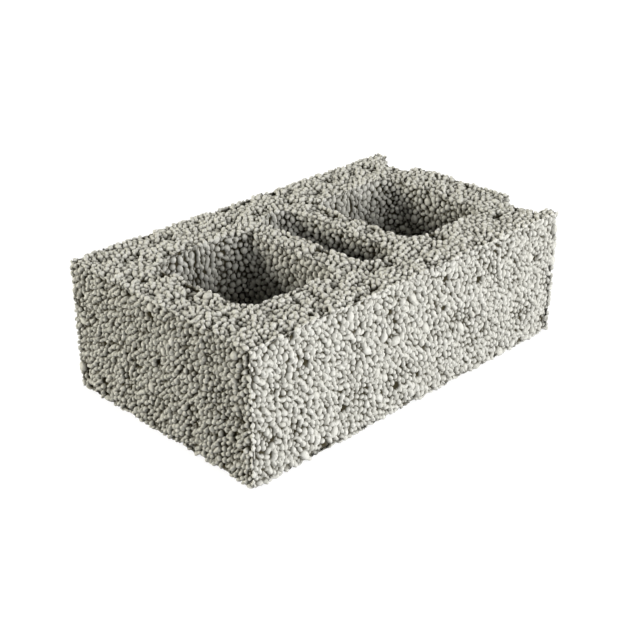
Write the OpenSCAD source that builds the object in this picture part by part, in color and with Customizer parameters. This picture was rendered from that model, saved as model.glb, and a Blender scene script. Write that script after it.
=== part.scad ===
// Hollow lightweight concrete block, cast as one piece, with two large cores, a centre
// slot between two webs, one flat end and one end with two vertical grooves.
// Sizes are in millimetres. X runs along the block from the flat end to the grooved end,
// Y across its width and Z up. The origin is the middle of the underside.

/* [Block] */
// Length of the block, from the flat end to the grooved end
block_length = 590; // [560:1:650]
// Width of the block, across its two long faces
block_width = 350; // [320:1:400]
// Height of the block, between its two bed faces
block_height = 190; // [90:1:250]

/* [Cores and slot] */
// Thickness of each end wall, between a core and the block's end
end_wall = 70; // [50:1:80]
// Thickness of each web, between a core and the centre slot
web = 41; // [30:1:50]
// Thickness of each face shell, between a core and the block's long face
face_shell = 83; // [60:1:100]
// Width of the centre slot, along the block
slot_width = 60; // [30:1:80]
// Cover at each end of the centre slot, from its tip to the block's long face
slot_cover = 68; // [50:1:100]
// Radius of the upright corners of the cores and the slot
corner_radius = 26; // [10:1:30]
// How far each wall of a core or slot slopes outwards from the top to the underside
draft = 2; // [0:0.5:5]

/* [Grooved end] */
// Width of the ear between each groove and the block's long face
ear_width = 22; // [15:1:35]
// Width of each vertical groove
groove_width = 63; // [40:1:80]
// Depth of each vertical groove
groove_depth = 25; // [10:1:35]

/* [Hidden] */

concrete_colour = "#b4b1a5";

// Facets of a full circle, for the rounded corners
$fn = 48;

// How far a cut runs past the face that it opens
overrun = 5;

// Least flat that two round corners leave between them
least_flat = 4;

// The cores and the slot take up what the walls leave at the top bed face.
core_length = (block_length - 2 * end_wall - 2 * web - slot_width) / 2;
core_width = block_width - 2 * face_shell;
slot_length = block_width - 2 * slot_cover;

// Distance of each core's middle from the middle of the block
core_offset = slot_width / 2 + web + core_length / 2;

// Distance of each groove's middle from the middle of the block
groove_offset = block_width / 2 - ear_width - groove_width / 2;

// How far a drafted wall lies outside the opening's outline at the top, at height z
function flare(z) = draft * (block_height - z) / block_height;

// Rectangle centred on the origin, with round corners no larger than its sides allow
module rounded_rectangle(along, across) {
    fillet = min(corner_radius, (min(along, across) - least_flat) / 2);
    offset(r = fillet)
        square([along - 2 * fillet, across - 2 * fillet], center = true);
}

// The mould's former for one through opening: along and across are its size at the top
// bed face, from where it widens downwards, so that the fresh block slides off it.
module former(along, across) {
    low = 2 * flare(-overrun);
    high = 2 * flare(block_height + overrun);
    taper = [(along + high) / (along + low), (across + high) / (across + low)];
    translate([0, 0, -overrun])
        linear_extrude(height = block_height + 2 * overrun, scale = taper, slices = 1)
            rounded_rectangle(along + low, across + low);
}

// One vertical groove in the end face, centred across Y
module end_groove() {
    translate([block_length / 2 - groove_depth, -groove_width / 2, -overrun])
        cube([groove_depth + overrun, groove_width, block_height + 2 * overrun]);
}

module hollow_block() {
    color(concrete_colour)
        difference() {
            translate([-block_length / 2, -block_width / 2, 0])
                cube([block_length, block_width, block_height]);
            former(slot_width, slot_length);
            for (side = [-1, 1]) {
                translate([side * core_offset, 0, 0])
                    former(core_length, core_width);
                translate([0, side * groove_offset, 0])
                    end_groove();
            }
        }
}

hollow_block();
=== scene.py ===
"""Dresses a hollow lightweight concrete block with its grains, pits and finish, in a plain studio."""

import math
from typing import NamedTuple

import bmesh
import bpy
import numpy as np
from bpy.props import FloatProperty, FloatVectorProperty, IntProperty, PointerProperty
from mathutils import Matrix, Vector, noise
from mathutils.kdtree import KDTree


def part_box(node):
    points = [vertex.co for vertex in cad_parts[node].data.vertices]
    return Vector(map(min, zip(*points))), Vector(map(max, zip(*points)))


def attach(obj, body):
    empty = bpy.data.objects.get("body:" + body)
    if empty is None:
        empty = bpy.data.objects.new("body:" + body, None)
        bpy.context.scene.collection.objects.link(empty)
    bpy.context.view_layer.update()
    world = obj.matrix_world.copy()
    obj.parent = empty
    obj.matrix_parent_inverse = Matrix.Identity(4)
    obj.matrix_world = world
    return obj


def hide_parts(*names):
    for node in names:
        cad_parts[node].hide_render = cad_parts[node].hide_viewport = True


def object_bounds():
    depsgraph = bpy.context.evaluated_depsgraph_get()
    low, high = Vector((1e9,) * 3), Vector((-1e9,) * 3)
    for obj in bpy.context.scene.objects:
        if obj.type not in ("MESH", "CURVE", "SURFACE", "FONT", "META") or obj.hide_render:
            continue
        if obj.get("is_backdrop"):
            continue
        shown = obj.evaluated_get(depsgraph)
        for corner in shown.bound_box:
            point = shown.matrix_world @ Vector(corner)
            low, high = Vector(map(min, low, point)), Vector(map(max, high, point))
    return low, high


bl_info = {
    "name": "Hollow Concrete Block",
    "version": (1, 0, 0),
    "blender": (4, 5, 0),
    "location": "View3D > Sidebar > Block",
    "description": "Grains, pits and finish for a cast concrete block, and a studio to show it in",
    "category": "Add Mesh",
}

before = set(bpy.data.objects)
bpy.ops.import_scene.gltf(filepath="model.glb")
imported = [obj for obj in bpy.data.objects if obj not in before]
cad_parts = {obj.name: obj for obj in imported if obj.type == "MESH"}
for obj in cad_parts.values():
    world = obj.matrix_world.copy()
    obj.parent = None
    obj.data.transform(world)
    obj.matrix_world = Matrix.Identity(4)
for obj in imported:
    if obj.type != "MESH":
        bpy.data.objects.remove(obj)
CAD_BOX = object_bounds()
NODE = "hollow_block"
BODY = "root"
LOW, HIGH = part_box(NODE)
MM = 0.001

# Limits that tell the block's faces apart
BED_LIMIT = 0.05 * MM
WALL_LIMIT = 2 * MM
GROOVE_LIMIT = 30 * MM
SLOT_LIMIT = 60 * MM

# The least that a normal points along an axis: on a flat face, on a face in view, on a furrow's wall
FLAT_FACING = 0.95
VIEW_FACING = 0.9
SEAM_FACING = 0.7

# The lower edges: how high the walls run straight up, and how grains are missing there
FOOT = 12 * MM
CHIP_HEIGHT = 6 * MM
CHIP_SCALE = 80
CHIP_GAIN = 1.8

# The plain skin: how its points are joined, and how far its normals and edges are rounded
WELD = 0.01 * MM
TURN_ROUNDS = 6
ROUND_ROUNDS = 1
EDGE_ROUNDS = 16
EDGE_MOVE = 1.8 * MM
EDGE_SHARE = 0.4

# Waves that bend the grains' outlines, swell the faces and vary the depth of the cement
WARP = 0.55 * MM
WARP_SCALE = 150
SWELL = 0.9 * MM
SWELL_SCALE = 45
CEMENT_WAVES = 0.35

# Clumps of grains: their size and height, where the bed's fade out, and how much of the dips' depth the
# painted shade leaves out
CLUMP_SCALE = 45
CLUMP_UPRIGHT = 0.6
CLUMP_GAIN = 2.2
BED_FADE = 0.7
CLUMP_UNSHADED_SHARE = 0.6

# How the grains differ from face to face
BED_PRESS = 0.66
WALL_PRESS = 0.9
OPEN_LARGE = 1.28
OPEN_SINK = 0.6 * MM
END_SINK = 1.0 * MM
FRONT_LARGE = 1.16
FRONT_STRETCH = 0.1

# How a grain leans, how long, thin and flat it is, how far it reaches, and the cement's tone
TILT_SPREAD = 0.30
UPRIGHT_SPREAD = 0.5
MOST_STRETCH = 0.24
THINNING = 0.7
LEAST_HEIGHT = 0.78
REACH = 1.05
MIDDLE_TONE = 0.5

# How far the skin's points move into the gaps, in how many ways, and which normals count as level
SETTLE = 0.45 * MM
SETTLE_WAYS = 8
STEEP = 0.7

# How far the rough surface stands out or lies deep, and how thick the pieces are
PROUD = 2.0 * MM
DEEPEST = 12 * MM
PIECE_DEPTH = 14 * MM

# Shares of a pit's radius: how deep its bowl and its centre lie, and the smallest pit
PIT_BOWL_SHARE = 0.8
PIT_CENTRE_SHARE = 0.6
LEAST_PIT_SHARE = 0.55

# Pits that stand out on the faces in view, the largest first: shares of the length, width and height
PIT_SHARES = (
    (0.26, 0, 0.25),
    (0, 0.85, 0.15),
    (0, 0.65, 0.95),
    (0.43, 0, 0.20),
    (0.58, 0, 0.86),
    (0.70, 0, 0.72),
    (0, 0.53, 0.87),
    (0, 0.87, 0.63),
    (0, 0.50, 0.55),
    (0, 0.05, 0.46),
    (0.88, 0.15, 1),
    (0.40, 0, 0.80),
    (0.74, 0, 0.79),
    (0.92, 0, 0.68),
    (0.32, 0.16, 1),
    (0.68, 0.15, 1),
    (0.84, 0.25, 1),
    (0.06, 0, 0.30),
    (0.50, 0, 0.21),
    (0.15, 0, 0.72),
    (0.52, 0, 0.41),
    (0, 0.55, 0.75),
    (0, 0.30, 0.25),
    (0, 0.94, 0.03),
    (0.19, 0.05, 1),
    (0.47, 0.96, 1),
    (0.37, 0.85, 1),
    (0.55, 0, 0.70),
    (0.84, 0, 0.73),
    (0.58, 0, 0.64),
    (0, 0.76, 0.52),
    (0.24, 0.88, 1),
    (0.12, 0.10, 1),
)

# Furrows down the far wall of each opening: where they are, and the least y of that wall
CORE_SEAM = 148 * MM
CORE_WALL = 85 * MM
SLOT_WALL = 100 * MM
SEAMS = ((-CORE_SEAM, CORE_WALL), (0, SLOT_WALL), (CORE_SEAM, CORE_WALL))
SEAM_WIDTH = 2.6 * MM
SEAM_DEPTH = 6 * MM
SEAM_WANDER = 2.5 * MM
SEAM_SCALE = 60
STREAK_REACH = 26 * MM
STREAK_STRETCH = 0.3
STREAK_CALM = 0.8

# The finish: mottled tones, fine grit, painted shade in the gaps as shares of the cement's depth, painted
# shade in the pores that the bump dents, and bump
SPECULAR = 0.1
MOTTLE_SCALE = 160
MOTTLE_DETAIL = 4
GRIT_SCALE = 380
GRIT_DETAIL = 5
PAINTED_SHADE_FROM_SHARE = 0.10
PAINTED_SHADE_TO_SHARE = 1.08
PORES_FROM = 0.56
PORES_TO = 0.74
PORE_PAINTED_SHADE = 0.4
LEAST_ROUGHNESS = 0.82
MOST_ROUGHNESS = 0.98
BUMP_STRENGTH = 0.7
BUMP_HEIGHT = 0.8 * MM
WHITE = (1, 1, 1, 1)

# The studio: how far the lamps stand, and how the floor turns white away from the block
LAMP_DISTANCE = 2.8
FLOOR_SIZE = 20
FLOOR_GLOW = 0.86
GLOW_FROM = 0.45
GLOW_TO = 2.2
SENSOR_WIDTH = 36


class GrainLayer(NamedTuple):
    """One kind of grain: its size, the depth of its centre, how many are tried and how close they lie."""

    radius_name: str
    least_share: float
    flat_share: float
    shallow: float
    deep: float
    per_area: int
    spacing: float


# The kinds of grain, in the order in which they are packed
LAYERS = (
    GrainLayer("lump_radius", 0.75, 0.75, -0.4 * MM, 0.6 * MM, 150, 0.90),
    GrainLayer("face_radius", 0.62, 0.85, -1.3 * MM, 0.5 * MM, 190000, 0.98),
    GrainLayer("inner_radius", 0.60, 0.85, 0.8 * MM, 2.6 * MM, 140000, 0.88),
    GrainLayer("fine_radius", 0.62, 0.85, 0.7 * MM, 2.4 * MM, 180000, 0.86),
)


class Softbox(NamedTuple):
    """A lamp's turn from the front towards the grooved end and its rise, in degrees, and its size."""

    turn: float
    rise: float
    width: float
    height: float


FRONT_LAMP = Softbox(turn=4, rise=13, width=2.2, height=1.6)
LEFT_LAMP = Softbox(turn=-119, rise=16, width=0.8, height=0.8)
REAR_LAMP = Softbox(turn=122, rise=36, width=0.6, height=0.6)
TOP_LAMP = Softbox(turn=0, rise=85, width=1.4, height=1.4)


class BlockGrains(bpy.types.PropertyGroup):
    """Sizes of the grains and the pits in the block's surface."""

    lump_radius: FloatProperty(
        name="Lumps",
        description="Largest radius of the flat lumps that a few grains make together",
        default=7.2 * MM,
        unit="LENGTH",
    )
    face_radius: FloatProperty(
        name="Face grains",
        description="Largest radius of the grains that lie against the mould",
        default=4.1 * MM,
        unit="LENGTH",
    )
    inner_radius: FloatProperty(
        name="Inner grains",
        description="Largest radius of the grains that show between those",
        default=3.6 * MM,
        unit="LENGTH",
    )
    fine_radius: FloatProperty(
        name="Fine grains",
        description="Largest radius of the grains that fill the gaps",
        default=2.3 * MM,
        unit="LENGTH",
    )
    pit_radius: FloatProperty(
        name="Pits",
        description="Largest radius of the pits where grains are missing",
        default=5.2 * MM,
        unit="LENGTH",
    )
    pits_per_area: FloatProperty(
        name="Pits per square metre",
        description="How many pits a square metre of the other faces has",
        default=70,
    )
    cement_depth: FloatProperty(
        name="Cement depth",
        description="How far the cement between the grains lies below the mould's face",
        default=5.2 * MM,
        unit="LENGTH",
    )
    wall_clumps: FloatProperty(
        name="Clumps on the walls",
        description="How much lower the grains lie between clumps, on the walls",
        default=2.8 * MM,
        unit="LENGTH",
    )
    bed_clumps: FloatProperty(
        name="Clumps on the upper bed",
        description="How much lower the grains lie between clumps, where the block was struck off",
        default=5.2 * MM,
        unit="LENGTH",
    )
    blend: FloatProperty(
        name="Blend",
        description="How softly neighbouring grains run into each other",
        default=0.08 * MM,
        unit="LENGTH",
    )
    mesh_size: FloatProperty(
        name="Mesh size",
        description="Side of the small faces that the surface is made of",
        default=1.5 * MM,
        unit="LENGTH",
    )
    seed: IntProperty(
        name="Seed",
        description="Start of the random draws and of the noise, which zero would leave to the clock",
        default=7,
        min=1,
    )


class BlockColours(bpy.types.PropertyGroup):
    """Colours of the grains, of the painted shade in the gaps between them and of the floor."""

    pale: FloatVectorProperty(
        name="Pale grains",
        description="Colour of the palest grains",
        subtype="COLOR",
        default=(0.64, 0.636, 0.60),
    )
    grey: FloatVectorProperty(
        name="Grey grains",
        description="Colour of the greyest grains",
        subtype="COLOR",
        default=(0.54, 0.532, 0.48),
    )
    # Painted shade: this colour stands in for the shade deep between the grains and in the bump's dents
    painted_crevice_shade: FloatVectorProperty(
        name="Crevices",
        description="Colour deep between the grains",
        subtype="COLOR",
        default=(0.042, 0.036, 0.020),
    )
    floor: FloatVectorProperty(
        name="Floor",
        description="Colour of the studio floor",
        subtype="COLOR",
        default=(0.2, 0.2, 0.2),
    )


class BlockStudio(bpy.types.PropertyGroup):
    """Where the camera stands and how strong the lamps are."""

    camera_place: FloatVectorProperty(
        name="Camera",
        description="Where the camera stands",
        subtype="XYZ",
        unit="LENGTH",
        default=(-1.0662, -1.0601, 0.8228),
    )
    camera_aim: FloatVectorProperty(
        name="Aim",
        description="The point that the camera looks at",
        subtype="XYZ",
        unit="LENGTH",
        default=(-0.0571, -0.0467, 0.0957),
    )
    lens: FloatProperty(
        name="Lens",
        description="Focal length of the camera, in millimetres",
        default=67.6,
    )
    front_watts: FloatProperty(
        name="Front lamp",
        description="Power of the wide lamp in front",
        default=127,
    )
    left_watts: FloatProperty(
        name="Left lamp",
        description="Power of the lamp that faces the flat end",
        default=77,
    )
    rear_watts: FloatProperty(
        name="Rear lamp",
        description="Power of the lamp behind on the right, for the upper bed",
        default=35,
    )
    top_watts: FloatProperty(
        name="Top lamp",
        description="Power of the lamp overhead, for the openings",
        default=12,
    )
    warm: FloatVectorProperty(
        name="Warm light",
        description="Colour of the lamps other than the front one",
        subtype="COLOR",
        default=(1.0, 0.975, 0.88),
    )
    ambient: FloatProperty(
        name="Ambient",
        description="Strength of the light from all round",
        default=0.015,
    )


def new_object(name, data):
    """An object at the origin, linked to the scene."""
    obj = bpy.data.objects.new(name, data)
    bpy.context.scene.collection.objects.link(obj)
    return obj


def even_skin(size):
    """A closed mesh of the plain block with small faces of one size."""
    shape = bmesh.new()
    shape.from_mesh(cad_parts[NODE].data)
    bmesh.ops.remove_doubles(shape, verts=shape.verts, dist=WELD)
    mesh = bpy.data.meshes.new("plain_block")
    shape.to_mesh(mesh)
    shape.free()
    obj = new_object("plain_block", mesh)
    remesh = obj.modifiers.new("Even faces", "REMESH")
    remesh.mode = "VOXEL"
    remesh.voxel_size = size
    graph = bpy.context.evaluated_depsgraph_get()
    skin = bpy.data.meshes.new_from_object(obj.evaluated_get(graph))
    bpy.data.objects.remove(obj)
    return skin


def values_of(items, name, width, kind=float):
    """One property of all points, edges or faces, as an array with a row for each."""
    values = np.empty(len(items) * width, dtype=kind)
    items.foreach_get(name, values)
    return values.reshape(-1, width)


def unit(vectors):
    """The same vectors at length one."""
    return vectors / np.linalg.norm(vectors, axis=-1, keepdims=True)


def neighbour_sums(values, edges):
    """For each point, the sum of the values at the points that edges join it to."""
    sums = np.zeros_like(values)
    for here, there in (edges.T, edges.T[::-1]):
        for column in range(values.shape[1]):
            sums[:, column] += np.bincount(here, values[there, column], len(values))
    return sums


def surface_normals(points, faces):
    """Normals at the points of a closed surface of four-sided faces."""
    a, b, c, d = (points[faces[:, corner]] for corner in range(4))
    turned = np.cross(c - a, d - b)
    totals = np.zeros_like(points)
    for corner in range(4):
        for axis in range(3):
            totals[:, axis] += np.bincount(faces[:, corner], turned[:, axis], len(points))
    return unit(totals)


class Skin:
    """The plain block's surface as arrays, with edges that are a little round."""

    def __init__(self, mesh):
        self.plain = values_of(mesh.vertices, "co", 3)
        self.faces = values_of(mesh.loops, "vertex_index", 1, np.int32).reshape(-1, 4)
        self.centres = values_of(mesh.polygons, "center", 3)
        edges = values_of(mesh.edges, "vertices", 2, np.int32)
        ways = np.bincount(edges.ravel(), minlength=len(self.plain))[:, None]
        smoothed = [self.plain]
        for _ in range(EDGE_ROUNDS):
            smoothed.append(neighbour_sums(smoothed[-1], edges) / ways)
        self.points = smoothed[ROUND_ROUNDS].copy()
        moved = np.linalg.norm(smoothed[EDGE_ROUNDS] - self.plain, axis=1)
        self.edge = np.clip(moved / EDGE_MOVE, 0, 1)
        self.normals = values_of(mesh.vertices, "normal", 3)
        under = self.normals[:, 2] < -FLAT_FACING
        for _ in range(TURN_ROUNDS):
            self.normals = unit(self.normals + neighbour_sums(self.normals, edges))
        self.turned = self.normals.copy()
        self.cut_flat(under)
        self.chips = self.foot_chips()
        self.tree = KDTree(len(self.points))
        for index, point in enumerate(self.points.tolist()):
            self.tree.insert(point, index)
        self.tree.balance()
        areas = values_of(mesh.polygons, "area", 1).ravel()
        self.area = areas.sum()
        self.reach = np.cumsum(areas) / self.area

    def cut_flat(self, under):
        """Lets the walls run straight down to the lower bed, so that the block stands flat."""
        at_foot = self.plain[:, 2] < LOW.z + FOOT
        self.points[at_foot, 2] = self.plain[at_foot, 2]
        self.normals[at_foot & ~under, 2] = 0
        self.normals[at_foot & under] = (0, 0, -1)
        self.normals = unit(self.normals)

    def foot_chips(self):
        """How far the lower edges are lifted where grains are missing from them."""
        waves = np.array([noise.noise(Vector(p) * CHIP_SCALE) for p in self.plain.tolist()])
        at_foot = self.plain[:, 2] < LOW.z + FOOT
        return CHIP_HEIGHT * np.clip(CHIP_GAIN * waves, 0, 1) * self.edge * at_foot

    def scatter(self, rng, per_area):
        """Random points, evenly spread, with the surface's normals there."""
        count = int(per_area * self.area)
        picked = self.faces[np.searchsorted(self.reach, rng.random(count))]
        u, v = rng.random((2, count, 1))
        weights = np.stack([(1 - u) * (1 - v), u * (1 - v), u * v, (1 - u) * v], axis=1)
        points = (self.points[picked] * weights).sum(axis=1)
        return points, unit((self.normals[picked] * weights).sum(axis=1))


class Packing:
    """Centres and radii placed so far, kept in cells so that the near ones are found quickly."""

    def __init__(self, cell):
        self.cell = cell
        self.cells = {}

    def key(self, point):
        return tuple(int(math.floor(x / self.cell)) for x in point)

    def free(self, point, radius, spacing):
        """True where a grain of this radius keeps its distance from the others."""
        i, j, k = self.key(point)
        x, y, z = point
        for a in (i - 1, i, i + 1):
            for b in (j - 1, j, j + 1):
                for c in (k - 1, k, k + 1):
                    for px, py, pz, other in self.cells.get((a, b, c), ()):
                        reach = spacing * (radius + other)
                        if (x - px) ** 2 + (y - py) ** 2 + (z - pz) ** 2 < reach * reach:
                            return False
        return True

    def add(self, point, radius):
        self.cells.setdefault(self.key(point), []).append((*point, radius))


def pit_places(skin, sizes, rng):
    """Points, normals and radii of the pits: those in view at their places, the others at random."""
    radii = sizes.pit_radius * np.linspace(1, LEAST_PIT_SHARE, len(PIT_SHARES))
    for shares, radius in zip(PIT_SHARES, radii.tolist()):
        point, index, _ = skin.tree.find(LOW + Vector(shares) * (HIGH - LOW))
        yield np.array(point), skin.normals[index], radius
    points, normals = skin.scatter(rng, sizes.pits_per_area)
    radii = sizes.pit_radius * rng.uniform(LEAST_PIT_SHARE, 1.0, len(points))
    for point, normal, radius in zip(points, normals, radii):
        in_view = max(-normal[0], -normal[1], normal[2]) > VIEW_FACING and on_outside(point)
        at_edge = np.abs(normal).max() < FLAT_FACING
        if not (in_view or at_edge):
            yield point, normal, radius


def on_outside(point):
    """True for a point on the front, the flat end or the upper bed, and not in an opening."""
    x, y, z = point
    return min(x - LOW.x, y - LOW.y, HIGH.z - z) < WALL_LIMIT


def on_upper_bed(normals):
    """True where the surface faces up."""
    return normals[:, 2] > FLAT_FACING


def in_openings(points, normals):
    """True for points on the walls of the openings through the block."""
    x, y, _ = points.T
    inset = np.minimum.reduce([x - LOW.x, HIGH.x - x, y - LOW.y, HIGH.y - y])
    return (inset > GROOVE_LIMIT) & (np.abs(normals[:, 2]) < FLAT_FACING)


def on_front(points, normals):
    """True for points on the front face."""
    return (points[:, 1] < LOW.y + WALL_LIMIT) & (normals[:, 1] < -FLAT_FACING)


def loose_sinks(points, normals):
    """How much deeper the gaps are where the grains lie loosely: in the openings and on the flat end."""
    on_end = (points[:, 0] < LOW.x + WALL_LIMIT) & (normals[:, 0] < -FLAT_FACING)
    return OPEN_SINK * in_openings(points, normals) + END_SINK * on_end


def presses(points, normals):
    """How flat the grains are: most on the upper bed, not at all in the openings."""
    walls = np.where(in_openings(points, normals), 1, WALL_PRESS)
    return np.where(on_upper_bed(normals), BED_PRESS, walls)


def clump_sinks(points, normals, sizes):
    """How much deeper grains lie because they are between clumps."""
    places = points * (CLUMP_SCALE * np.array((1, 1, CLUMP_UPRIGHT)))
    waves = np.array([noise.noise(place) for place in places.tolist()])
    sinks = np.interp(normals[:, 2], (BED_FADE, 1), (sizes.wall_clumps, sizes.bed_clumps))
    return sinks * np.clip(CLUMP_GAIN * waves, 0, 1)


def pit_bowls(skin, pits):
    """How much deeper the cement lies where grains are missing."""
    bowls = np.zeros(len(skin.points))
    for point, _, radius in pits:
        for _, index, distance in skin.tree.find_range(point.tolist(), radius):
            bowls[index] = max(bowls[index], PIT_BOWL_SHARE * math.sqrt(radius**2 - distance**2))
    return bowls


def pack_grains(skin, sizes, pits, rng):
    """Face points, normals, depths of centre and radii of grains packed against the mould."""
    packing = Packing(2 * max(sizes.lump_radius, sizes.pit_radius))
    for point, normal, radius in pits:
        packing.add((point - normal * PIT_CENTRE_SHARE * radius).tolist(), radius)
    kept = []
    for layer in LAYERS:
        largest = getattr(sizes, layer.radius_name)
        points, normals = skin.scatter(rng, layer.per_area)
        radii = rng.uniform(layer.least_share * largest, largest, len(points))
        front = np.where(on_front(points, normals), FRONT_LARGE, 1)
        radii *= np.where(in_openings(points, normals), OPEN_LARGE, front)
        radii = np.minimum(radii, sizes.lump_radius)
        depths = layer.flat_share * radii * presses(points, normals)
        spread = rng.uniform(layer.shallow, layer.deep, len(points))
        depths += spread + clump_sinks(points, normals, sizes)
        depths += loose_sinks(points, normals) * (layer.shallow > 0)
        centres = points - normals * depths[:, None]
        for index, (centre, radius) in enumerate(zip(centres.tolist(), radii.tolist())):
            if packing.free(centre, radius, layer.spacing):
                packing.add(centre, radius)
                kept.append((*points[index], *normals[index], depths[index], radius))
    kept = np.array(kept)
    return kept[:, 0:3], kept[:, 3:6], kept[:, 6], kept[:, 7]


def near_seams(points, normals, reach):
    """One at the seams of the openings' far walls, falling to nothing beyond their reach."""
    x, y, _ = points.T
    near = np.zeros(len(x))
    for seam, least in SEAMS:
        on_wall = (y > least) & (normals[:, 1] < -SEAM_FACING) & (y < HIGH.y - GROOVE_LIMIT)
        near += on_wall * np.exp(-(((x - seam) / reach) ** 2))
    return near


def grain_axes(points, normals, radii, rng):
    """Three axes for each grain, each divided by the grain's half length along it, and its reach."""
    streaks = near_seams(points, normals, STREAK_REACH)
    tilt = unit(normals + rng.normal(0, TILT_SPREAD, normals.shape))
    leans = rng.normal(0, UPRIGHT_SPREAD, normals.shape) * (1 - STREAK_CALM * streaks[:, None])
    along = unit(np.cross(np.cross(tilt, leans + (0, 0, 1)), tilt))
    across = np.cross(tilt, along)
    stretch = rng.uniform(0.0, MOST_STRETCH, len(radii)) + STREAK_STRETCH * streaks
    stretch += FRONT_STRETCH * on_front(points, normals)
    height = rng.uniform(LEAST_HEIGHT, 1.0, len(radii)) * presses(points, normals)
    width = 1 / (1 + THINNING * stretch)
    lengths = np.stack([1 + stretch, width, height], axis=1) * radii[:, None]
    return np.stack([along, across, tilt], axis=1) / lengths[:, :, None], REACH * lengths[:, 0]


def touched_points(skin, points, reach):
    """Pairs of a grain and a point of the skin that the grain may reach."""
    grains, touched = [], []
    for grain, (point, radius) in enumerate(zip(points.tolist(), reach.tolist())):
        found = skin.tree.find_range(point, radius)
        touched.extend(item[1] for item in found)
        grains.extend([grain] * len(found))
    return np.array(grains), np.array(touched)


def seam_furrows(skin):
    """Depth of the furrows down the far walls of the openings."""
    waves = np.array([noise.noise_vector(Vector(p) * SEAM_SCALE) for p in skin.points.tolist()])
    wandered = skin.points + SEAM_WANDER * waves * (1, 0, 0)
    return SEAM_DEPTH * (1 + waves[:, 1]) * near_seams(wandered, skin.normals, SEAM_WIDTH)


class GrainField:
    """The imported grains, met along the normals of the skin's points."""

    def __init__(self, skin, grains, cement, blend, rng):
        points, normals, depths, radii = grains
        axes, reach = grain_axes(points, normals, radii, rng)
        picked, self.touched = touched_points(skin, points, reach)
        self.axes = axes[picked]
        self.centres = (points - normals * depths[:, None])[picked]
        self.tones = rng.random(len(radii))[picked]
        self.heading = np.einsum("nkx,nx->nk", self.axes, skin.normals[self.touched])
        self.square = (self.heading**2).sum(axis=1)
        self.cement = cement
        self.blend = blend

    def weights(self, places):
        """How strongly each grain shows at each of the places that it may reach."""
        offset = np.einsum("nkx,nx->nk", self.axes, places[self.touched] - self.centres)
        middle = (offset * self.heading).sum(axis=1)
        root = middle**2 - self.square * ((offset**2).sum(axis=1) - 1)
        depth = (middle - np.sqrt(np.maximum(root, 0))) / self.square
        return np.where(root > 0, np.exp(-depth / self.blend), 0)

    def sums(self, values):
        return np.bincount(self.touched, values, len(self.cement))

    def gaps(self, places):
        """How deep the surface of the grains and the cement lies at the places."""
        return -self.blend * np.log(self.cement + self.sums(self.weights(places)))

    def tone(self, places):
        """The tone of the grains that show at the places."""
        weights = self.weights(places)
        toned = MIDDLE_TONE * self.cement + self.sums(weights * self.tones)
        return toned / (self.cement + self.sums(weights))


def settling(skin, field, places):
    """Short moves along the surface that bring the skin's points into the gaps between grains."""
    steep = np.abs(skin.normals[:, 2:]) < STEEP
    one = unit(np.cross(np.where(steep, (0, 0, 1), (1, 0, 0)), skin.normals))
    two = np.cross(skin.normals, one)
    best = field.gaps(places)
    moves = np.zeros_like(places)
    for turn in np.linspace(0, math.tau, SETTLE_WAYS, endpoint=False):
        move = SETTLE * (math.cos(turn) * one + math.sin(turn) * two)
        gaps = field.gaps(places + move)
        better = gaps > best
        best[better] = gaps[better]
        moves[better] = move[better]
    return moves


def grain_relief(skin, sizes, rng):
    """At each point of the skin, how deep the rough surface lies, its gap for the painted shade and its
    grain's tone.
    """
    pits = list(pit_places(skin, sizes, rng))
    grains = pack_grains(skin, sizes, pits, rng)
    places = skin.points.tolist()
    waves = np.array([noise.noise_vector(Vector(p) * WARP_SCALE) for p in places])
    swell = np.array([noise.noise(Vector(p) * SWELL_SCALE) for p in places])
    sinks = clump_sinks(skin.points, skin.normals, sizes)
    loose = loose_sinks(skin.points, skin.normals)
    cement = sizes.cement_depth * (1 + CEMENT_WAVES * waves[:, 2])
    cement = cement + sinks + loose + pit_bowls(skin, pits)
    field = GrainField(skin, grains, np.exp(-cement / sizes.blend), sizes.blend, rng)
    skin.points += settling(skin, field, skin.points + WARP * waves)
    warped = skin.points + WARP * waves
    # The seams' furrows deepen both the surface and its painted shade
    gap = seam_furrows(skin) + field.gaps(warped)
    kept = 1 - EDGE_SHARE * skin.edge
    relief = kept * np.clip(gap + SWELL * swell, -PROUD, DEEPEST)
    # The gap that sets the painted shade: less at the rounded edges, and in the clumps' dips only part of
    # their depth
    gap = kept * (gap - CLUMP_UNSHADED_SHARE * sinks)
    return relief, gap, field.tone(warped)


def face_names(centres):
    """The name of the block's face that each small face belongs to."""
    x, y, z = centres.T
    tests = {
        "upper_bed": z > HIGH.z - BED_LIMIT,
        "lower_bed": z < LOW.z + BED_LIMIT,
        "front_face": y < LOW.y + WALL_LIMIT,
        "back_face": y > HIGH.y - WALL_LIMIT,
        "flat_end": x < LOW.x + WALL_LIMIT,
        "grooved_end": x > HIGH.x - GROOVE_LIMIT,
        "core_at_flat_end": x < -SLOT_LIMIT,
        "core_at_grooved_end": x > SLOT_LIMIT,
    }
    return np.select(list(tests.values()), list(tests), "centre_slot")


def face_mesh(name, points, faces):
    """One mesh from arrays of points and four-sided faces, shaded smooth."""
    mesh = bpy.data.meshes.new(name)
    mesh.vertices.add(len(points))
    mesh.vertices.foreach_set("co", points.ravel())
    mesh.loops.add(faces.size)
    mesh.loops.foreach_set("vertex_index", faces.ravel())
    mesh.polygons.add(len(faces))
    mesh.polygons.foreach_set("loop_start", np.arange(0, faces.size, 4))
    mesh.polygons.foreach_set("use_smooth", np.ones(len(faces), dtype=bool))
    mesh.update(calc_edges=True)
    return mesh


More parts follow.
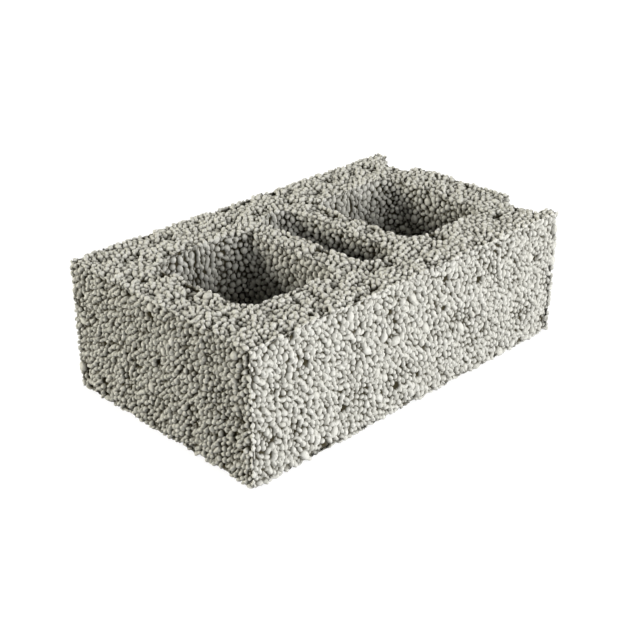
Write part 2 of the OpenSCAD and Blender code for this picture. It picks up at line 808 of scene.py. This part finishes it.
def close_behind(mesh, normals, is_bed):
    """Gives one face of the block edges and a back, so that it is a closed piece."""
    shape = bmesh.new()
    shape.from_mesh(mesh)
    points, faces = len(shape.verts), len(shape.faces)
    rim = [edge for edge in shape.edges if edge.is_boundary]
    if not is_bed:
        runs = [edge.verts[0].co - edge.verts[1].co for edge in rim]
        rim = [edge for edge, run in zip(rim, runs) if abs(run.z) < run.xy.length]
    made = bmesh.ops.extrude_edge_only(shape, edges=rim)["geom"]
    shape.verts.index_update()
    for vert in (item for item in made if isinstance(item, bmesh.types.BMVert)):
        linked = (edge.other_vert(vert).index for edge in vert.link_edges)
        source = min(linked)
        vert.co -= Vector(normals[source]) * PIECE_DEPTH
    edges = (item for item in made if isinstance(item, bmesh.types.BMEdge))
    inner = [edge for edge in edges if min(vert.index for vert in edge.verts) >= points]
    if is_bed:
        bmesh.ops.triangle_fill(shape, edges=inner, use_beauty=True)
    else:
        bmesh.ops.bridge_loops(shape, edges=inner)
        open_edges = [edge for edge in shape.edges if edge.is_boundary]
        bmesh.ops.holes_fill(shape, edges=open_edges, sides=0)
    bmesh.ops.recalc_face_normals(shape, faces=shape.faces)
    if shape.calc_volume(signed=True) < 0:
        bmesh.ops.reverse_faces(shape, faces=shape.faces)
    shape.faces.index_update()
    for face in shape.faces:
        face.smooth = face.index < faces
    left_open = sum(not edge.is_manifold for edge in shape.edges)
    if left_open:
        raise RuntimeError(f"{mesh.name} has {left_open} open edges")
    shape.to_mesh(mesh)
    shape.free()


def rough_piece(name, skin, chosen, depth, gap, tone):
    """One face of the block as a closed piece with its grains."""
    used, corners = np.unique(skin.faces[chosen], return_inverse=True)
    mesh = face_mesh(name, skin.plain[used], corners.reshape(-1, 4))
    close_behind(mesh, skin.turned[used], name.endswith("bed"))
    rough = skin.points - skin.normals * depth[:, None]
    rough[:, 2] = np.maximum(rough[:, 2], LOW.z) + skin.chips
    points = values_of(mesh.vertices, "co", 3)
    points[: len(used)] = rough[used]
    mesh.vertices.foreach_set("co", points.ravel())
    # The gap attribute sets the painted shade in the finish; the tone is the grains' own colour
    for key, values in (("gap", gap), ("tone", tone)):
        spread = np.zeros(len(points))
        spread[: len(used)] = values[used]
        mesh.attributes.new(key, "FLOAT", "POINT").data.foreach_set("value", spread)
    mesh.update()
    shading = np.zeros_like(points)
    shading[: len(used)] = surface_normals(rough, skin.faces)[used]
    mesh.normals_split_custom_set_from_vertices(shading.tolist())
    return new_object(name, mesh)


def node(tree, kind, place, **settings):
    """A shader node with its settings made."""
    made = tree.nodes.new(kind)
    made.location = place
    for key, value in settings.items():
        setattr(made, key, value)
    return made


def noise_texture(tree, place, vector, scale, detail):
    """Noise that reads the given coordinates."""
    made = node(tree, "ShaderNodeTexNoise", place)
    made.inputs["Scale"].default_value = scale
    made.inputs["Detail"].default_value = detail
    tree.links.new(vector, made.inputs["Vector"])
    return made.outputs["Fac"]


def grain_tint(tree, colours, mottle):
    """Grey to pale, half from each grain's tone and half from the mottled cement on it."""
    tone = node(tree, "ShaderNodeAttribute", (-1000, 500), attribute_name="tone")
    both = node(tree, "ShaderNodeMath", (-800, 400), operation="ADD")
    tree.links.new(tone.outputs["Fac"], both.inputs[0])
    tree.links.new(mottle, both.inputs[1])
    half = node(tree, "ShaderNodeMath", (-650, 400), operation="MULTIPLY")
    half.inputs[1].default_value = 0.5
    tree.links.new(both.outputs[0], half.inputs[0])
    tint = node(tree, "ShaderNodeMix", (-500, 400), data_type="RGBA")
    tint.inputs["A"].default_value = (*colours.grey, 1)
    tint.inputs["B"].default_value = (*colours.pale, 1)
    tree.links.new(half.outputs[0], tint.inputs["Factor"])
    return tint.outputs["Result"]


def painted_gap_shade(tree, sizes, grit):
    """How much painted shade the surface gets: full deep in the gaps, and less in the pores that the bump
    dents into the grains.
    """
    gap = node(tree, "ShaderNodeAttribute", (-1000, 700), attribute_name="gap")
    fall = node(tree, "ShaderNodeMapRange", (-800, 700), interpolation_type="SMOOTHSTEP")
    fall.inputs["From Min"].default_value = PAINTED_SHADE_FROM_SHARE * sizes.cement_depth
    fall.inputs["From Max"].default_value = PAINTED_SHADE_TO_SHARE * sizes.cement_depth
    tree.links.new(gap.outputs["Fac"], fall.inputs["Value"])
    # Painted shade in the pores: where the grit is high, the bump dents the surface and the crevice
    # colour is mixed in
    pores = node(tree, "ShaderNodeMapRange", (-800, 900))
    pores.inputs["From Min"].default_value = PORES_FROM
    pores.inputs["From Max"].default_value = PORES_TO
    pores.inputs["To Max"].default_value = PORE_PAINTED_SHADE
    tree.links.new(grit, pores.inputs["Value"])
    deepest = node(tree, "ShaderNodeMath", (-550, 800), operation="MAXIMUM")
    tree.links.new(fall.outputs["Result"], deepest.inputs[0])
    tree.links.new(pores.outputs["Result"], deepest.inputs[1])
    return deepest.outputs[0]


def concrete_material(colours, sizes):
    """Cement-coated grains: pale where they stand out, with painted shade dark in the gaps and pores,
    mottled and slightly rough.
    """
    material = bpy.data.materials.new("cement_coated_grains")
    material.use_nodes = True
    tree = material.node_tree
    shader = tree.nodes["Principled BSDF"]
    shader.inputs["Specular IOR Level"].default_value = SPECULAR
    place = node(tree, "ShaderNodeTexCoord", (-1200, 0)).outputs["Object"]
    mottle = noise_texture(tree, (-1000, 200), place, MOTTLE_SCALE, MOTTLE_DETAIL)
    grit = noise_texture(tree, (-1000, -300), place, GRIT_SCALE, GRIT_DETAIL)
    # Painted shade: the crevice colour is mixed in by the depth of the gaps and in the pores
    dark = node(tree, "ShaderNodeMix", (-300, 400), data_type="RGBA")
    dark.inputs["B"].default_value = (*colours.painted_crevice_shade, 1)
    tree.links.new(grain_tint(tree, colours, mottle), dark.inputs["A"])
    tree.links.new(painted_gap_shade(tree, sizes, grit), dark.inputs["Factor"])
    tree.links.new(dark.outputs["Result"], shader.inputs["Base Color"])
    rough = node(tree, "ShaderNodeMapRange", (-600, -100))
    rough.inputs["To Min"].default_value = LEAST_ROUGHNESS
    rough.inputs["To Max"].default_value = MOST_ROUGHNESS
    tree.links.new(grit, rough.inputs["Value"])
    tree.links.new(rough.outputs["Result"], shader.inputs["Roughness"])
    bump = node(tree, "ShaderNodeBump", (-300, -300))
    bump.inputs["Strength"].default_value = BUMP_STRENGTH
    bump.inputs["Distance"].default_value = BUMP_HEIGHT
    bump.invert = True
    tree.links.new(grit, bump.inputs["Height"])
    tree.links.new(bump.outputs["Normal"], shader.inputs["Normal"])
    return material


class BLOCK_OT_faces(bpy.types.Operator):
    """Make the block's faces, with the grains packed against the mould"""

    bl_idname = "block.faces"
    bl_label = "Faces"

    def execute(self, context):
        sizes = context.scene.block_grains
        rng = np.random.default_rng(sizes.seed)
        noise.seed_set(sizes.seed)
        mesh = even_skin(sizes.mesh_size)
        skin = Skin(mesh)
        bpy.data.meshes.remove(mesh)
        relief = grain_relief(skin, sizes, rng)
        finish = concrete_material(context.scene.block_colours, sizes)
        names = face_names(skin.centres)
        for name in sorted(set(names.tolist())):
            piece = rough_piece(name, skin, names == name, *relief)
            piece.data.materials.append(finish)
            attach(piece, BODY)
            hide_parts(NODE)
        return {"FINISHED"}


def add_lamp(name, box, watts, colour=(1, 1, 1)):
    """A lamp that faces the block."""
    lamp = bpy.data.lights.new(name, "AREA")
    lamp.shape = "RECTANGLE"
    lamp.size = box.width
    lamp.size_y = box.height
    lamp.energy = watts
    lamp.color = colour
    turn = math.radians(box.turn)
    rise = math.radians(box.rise)
    level = math.cos(rise)
    towards = Vector((math.sin(turn) * level, -math.cos(turn) * level, math.sin(rise)))
    obj = new_object(name, lamp)
    obj.location = Vector((0, 0, HIGH.z / 2)) + LAMP_DISTANCE * towards
    obj.rotation_euler = (-towards).to_track_quat("-Z", "Y").to_euler()


def seen_rays(tree):
    """A value of one for what the camera sees, straight or by way of a mirror or glass."""
    path = node(tree, "ShaderNodeLightPath", (-900, 0))
    mirrored = node(tree, "ShaderNodeMath", (-700, 0), operation="MAXIMUM")
    tree.links.new(path.outputs["Is Camera Ray"], mirrored.inputs[0])
    tree.links.new(path.outputs["Is Glossy Ray"], mirrored.inputs[1])
    seen = node(tree, "ShaderNodeMath", (-500, 0), operation="MAXIMUM")
    tree.links.new(mirrored.outputs[0], seen.inputs[0])
    tree.links.new(path.outputs["Is Transmission Ray"], seen.inputs[1])
    return seen.outputs[0]


def studio_floor(colours):
    """A wide pale floor that shows white to the camera and keeps the block's shadow."""
    shape = bmesh.new()
    bmesh.ops.create_grid(shape, x_segments=1, y_segments=1, size=FLOOR_SIZE)
    mesh = bpy.data.meshes.new("studio_floor")
    shape.to_mesh(mesh)
    shape.free()
    material = bpy.data.materials.new("studio_floor")
    material.use_nodes = True
    tree = material.node_tree
    shader = tree.nodes["Principled BSDF"]
    shader.inputs["Base Color"].default_value = (*colours.floor, 1)
    shader.inputs["Roughness"].default_value = 1.0
    shader.inputs["Emission Color"].default_value = WHITE
    place = node(tree, "ShaderNodeTexCoord", (-900, 300))
    away = node(tree, "ShaderNodeVectorMath", (-700, 300), operation="LENGTH")
    tree.links.new(place.outputs["Object"], away.inputs[0])
    level = node(tree, "ShaderNodeMapRange", (-500, 300), interpolation_type="SMOOTHSTEP")
    level.inputs["From Min"].default_value = GLOW_FROM
    level.inputs["From Max"].default_value = GLOW_TO
    level.inputs["To Min"].default_value = FLOOR_GLOW
    level.inputs["To Max"].default_value = 1.0
    tree.links.new(away.outputs["Value"], level.inputs["Value"])
    glow = node(tree, "ShaderNodeMath", (-300, 0), operation="MULTIPLY")
    tree.links.new(seen_rays(tree), glow.inputs[0])
    tree.links.new(level.outputs["Result"], glow.inputs[1])
    tree.links.new(glow.outputs[0], shader.inputs["Emission Strength"])
    mesh.materials.append(material)
    return new_object("studio_floor", mesh)


def studio_world(strength):
    """Even light from all round, white to the camera."""
    world = bpy.data.worlds.new("studio")
    world.use_nodes = True
    tree = world.node_tree
    shown = tree.nodes["Background"]
    shown.inputs["Color"].default_value = WHITE
    level = node(tree, "ShaderNodeMapRange", (-300, 0))
    level.inputs["To Min"].default_value = strength
    level.inputs["To Max"].default_value = 1.0
    tree.links.new(seen_rays(tree), level.inputs["Value"])
    tree.links.new(level.outputs["Result"], shown.inputs["Strength"])
    bpy.context.scene.world = world


class BLOCK_OT_studio(bpy.types.Operator):
    """Make the floor, the lamps and the camera"""

    bl_idname = "block.studio"
    bl_label = "Studio"

    def execute(self, context):
        studio = context.scene.block_studio
        studio_floor(context.scene.block_colours)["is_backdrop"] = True
        studio_world(studio.ambient)
        add_lamp("front_lamp", FRONT_LAMP, studio.front_watts)
        add_lamp("left_lamp", LEFT_LAMP, studio.left_watts, studio.warm)
        add_lamp("rear_lamp", REAR_LAMP, studio.rear_watts, studio.warm)
        add_lamp("top_lamp", TOP_LAMP, studio.top_watts, studio.warm)
        lens = bpy.data.cameras.new("camera")
        lens.lens = studio.lens
        lens.sensor_width = SENSOR_WIDTH
        camera = new_object("camera", lens)
        camera.location = studio.camera_place
        view = Vector(studio.camera_aim) - Vector(studio.camera_place)
        camera.rotation_euler = view.to_track_quat("-Z", "Y").to_euler()
        context.scene.camera = camera
        context.scene.view_settings.view_transform = "Standard"
        return {"FINISHED"}


class BLOCK_PT_sidebar(bpy.types.Panel):
    """Shows the buttons that make the block's faces and the studio"""

    bl_label = "Concrete block"
    bl_space_type = "VIEW_3D"
    bl_region_type = "UI"
    bl_category = "Block"

    def draw(self, context):
        for operator in (BLOCK_OT_faces, BLOCK_OT_studio):
            self.layout.operator(operator.bl_idname)


GROUPS = {
    "block_grains": BlockGrains,
    "block_colours": BlockColours,
    "block_studio": BlockStudio,
}
OTHERS = (BLOCK_OT_faces, BLOCK_OT_studio, BLOCK_PT_sidebar)


def register():
    for name, group in GROUPS.items():
        bpy.utils.register_class(group)
        setattr(bpy.types.Scene, name, PointerProperty(type=group))
    for made in OTHERS:
        bpy.utils.register_class(made)


def unregister():
    for made in reversed(OTHERS):
        bpy.utils.unregister_class(made)
    for name, group in GROUPS.items():
        delattr(bpy.types.Scene, name)
        bpy.utils.unregister_class(group)


def main():
    register()
    bpy.ops.block.faces()
    bpy.ops.block.studio()
    boxes = {"cad": CAD_BOX, "visual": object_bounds()}
    {k: [list(corner) for corner in box] for k, box in boxes.items()}


if __name__ == "__main__":
    main()
